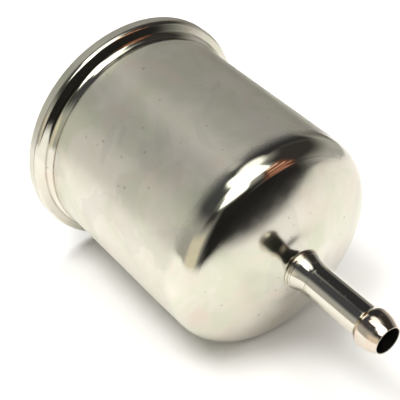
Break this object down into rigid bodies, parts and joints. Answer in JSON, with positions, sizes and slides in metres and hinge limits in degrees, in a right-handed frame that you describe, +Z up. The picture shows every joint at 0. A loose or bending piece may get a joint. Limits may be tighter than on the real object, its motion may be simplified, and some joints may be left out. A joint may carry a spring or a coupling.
{
  "type": "fuel filter",
  "caption": "In-line fuel filter: rolled steel can with a straight beaded hose tube on each end and a spring-held pleated paper element inside.",
  "frame": {"origin": "on the filter's axis, at the middle of the can's straight barrel", "axes": "+X along the axis out of the outlet tube, +Z up, with the filter lying on its side"},
  "size_m": [0.117, 0.0624, 0.0624],
  "materials": {
    "can_steel": "satin zinc-nickel plating, slightly warm",
    "lid_steel": "satin plating",
    "tube_steel": "bright plating",
    "braze_metal": "dull copper braze",
    "inner_steel": "plain pressed sheet",
    "cap_steel": "tinned pressed sheet",
    "spring_steel": "oiled spring wire",
    "filter_paper": "resin-treated paper",
    "potting": "cured potting compound",
    "glue": "hot-melt glue",
    "pale_nylon": "moulded nylon",
    "black_rubber": "smooth fuel-proof rubber"
  },
  "bodies": {
    "housing": {"can": "can_steel", "lid": "lid_steel", "seam_gasket": "black_rubber", "outlet_nipple": "tube_steel", "inlet_nipple": "tube_steel", "outlet_braze": "braze_metal", "inlet_braze": "braze_metal", "outlet_ferrule": "inner_steel", "inlet_ferrule": "inner_steel", "inlet_baffle": "inner_steel", "spring": "spring_steel"},
    "element": {"spring_seat": "inner_steel", "closed_end_cap": "cap_steel", "open_end_cap": "cap_steel", "closed_cap_adhesive": "potting", "open_cap_adhesive": "potting", "pleated_media": "filter_paper", "media_clip": "inner_steel", "media_bands": "glue", "centre_tube": "inner_steel", "centring_ring": "pale_nylon", "outlet_grommet": "black_rubber"}
  },
  "joints": [
    {"name": "element_float", "type": "slide", "parent": "housing", "child": "element", "axis": [-1, 0, 0], "range_m": [0, 0.0015], "stiffness_N_per_m": 1500, "springref_m": -0.003, "deforming": ["spring"]}
  ]
}
